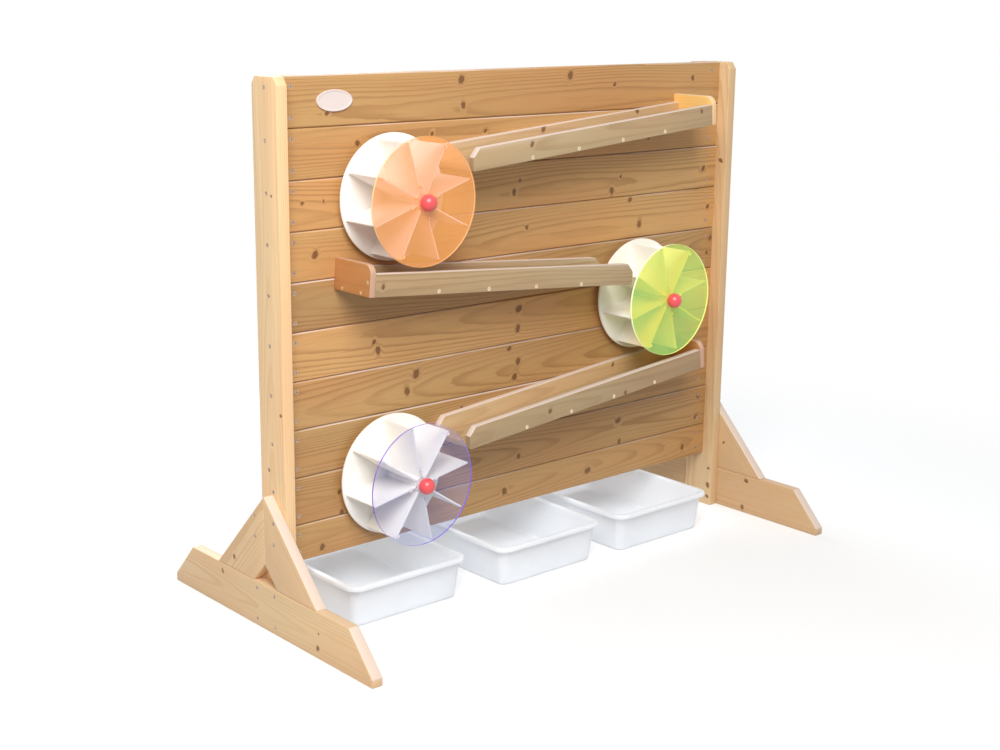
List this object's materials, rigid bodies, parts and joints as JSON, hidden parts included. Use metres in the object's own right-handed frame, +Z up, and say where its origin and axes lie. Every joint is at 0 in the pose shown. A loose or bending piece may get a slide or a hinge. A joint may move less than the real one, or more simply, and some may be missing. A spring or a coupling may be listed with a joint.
{
  "type": "water play board",
  "caption": "Free-standing plank panel between braced posts, with sloping troughs that pour water over paddle wheels on its face and loose trays that catch it on the floor.",
  "frame": {"origin": "On the floor, under the middle of the panel", "axes": "+X along the board to the right as seen from the front, +Y from the front into the board, +Z up"},
  "size_m": [1.218, 0.65, 1],
  "materials": {
    "pale_pine": "planed pine, clear oil",
    "honey_pine": "planed pine, honey stain",
    "trough_pine": "planed pine, light stain",
    "cap_pine": "planed pine, warm stain",
    "white_plastic": "satin sheet",
    "orange_clear": "orange clear sheet",
    "green_clear": "yellow-green clear sheet",
    "violet_clear": "pale violet clear sheet",
    "ball_red": "gloss red",
    "tray_plastic": "cool white",
    "steel": "zinc plated",
    "plate_cream": "bare oval"
  },
  "bodies": {
    "frame": {"left_post": "pale_pine", "right_post": "pale_pine", "left_foot_beam": "pale_pine", "right_foot_beam": "pale_pine", "left_front_brace": "pale_pine", "left_back_brace": "pale_pine", "right_front_brace": "pale_pine", "right_back_brace": "pale_pine", "plank_1": "honey_pine", "plank_2": "honey_pine", "plank_3": "honey_pine", "plank_4": "honey_pine", "plank_5": "honey_pine", "plank_6": "honey_pine", "plank_7": "honey_pine", "plank_8": "honey_pine", "plank_9": "honey_pine", "plank_10": "honey_pine", "left_batten": "honey_pine", "right_batten": "honey_pine", "trough_1_back_board": "trough_pine", "trough_1_front_board": "trough_pine", "trough_1_floor_board": "trough_pine", "trough_1_end_cap": "cap_pine", "trough_2_back_board": "trough_pine", "trough_2_front_board": "trough_pine", "trough_2_floor_board": "trough_pine", "trough_2_end_cap": "cap_pine", "trough_3_back_board": "trough_pine", "trough_3_front_board": "trough_pine", "trough_3_floor_board": "trough_pine", "trough_3_end_cap": "cap_pine", "axle_1": "steel", "axle_2": "steel", "axle_3": "steel", "ball_1": "ball_red", "ball_2": "ball_red", "ball_3": "ball_red", "axle_nuts": "steel", "axle_washers": "steel", "plank_screws": "steel", "post_screws": "steel", "foot_screws": "steel", "trough_screws": "steel", "oval_plate": "plate_cream"},
    "wheel_1": {"wheel_1_back_disc": "white_plastic", "wheel_1_front_disc": "orange_clear", "wheel_1_blades": "white_plastic", "wheel_1_hub": "white_plastic"},
    "wheel_2": {"wheel_2_back_disc": "white_plastic", "wheel_2_front_disc": "green_clear", "wheel_2_blades": "white_plastic", "wheel_2_hub": "white_plastic"},
    "wheel_3": {"wheel_3_back_disc": "white_plastic", "wheel_3_front_disc": "violet_clear", "wheel_3_blades": "white_plastic", "wheel_3_hub": "white_plastic"},
    "tray_1": {"tray_1": "tray_plastic"},
    "tray_2": {"tray_2": "tray_plastic"},
    "tray_3": {"tray_3": "tray_plastic"}
  },
  "joints": [
    {"name": "wheel_1_spin", "type": "hinge", "parent": "frame", "child": "wheel_1", "pos_m": [-0.333, -0.072, 0.77848], "axis": [0, 1, 0], "continuous": true},
    {"name": "wheel_2_spin", "type": "hinge", "parent": "frame", "child": "wheel_2", "pos_m": [0.318, -0.072, 0.52367], "axis": [0, 1, 0], "continuous": true},
    {"name": "wheel_3_spin", "type": "hinge", "parent": "frame", "child": "wheel_3", "pos_m": [-0.337, -0.072, 0.254], "axis": [0, 1, 0], "continuous": true},
    {"name": "tray_1_slide", "type": "slide", "parent": "frame", "child": "tray_1", "axis": [0, -1, 0], "range_m": [0, 0.45]},
    {"name": "tray_2_slide", "type": "slide", "parent": "frame", "child": "tray_2", "axis": [0, -1, 0], "range_m": [0, 0.45]},
    {"name": "tray_3_slide", "type": "slide", "parent": "frame", "child": "tray_3", "axis": [0, -1, 0], "range_m": [0, 0.45]}
  ]
}
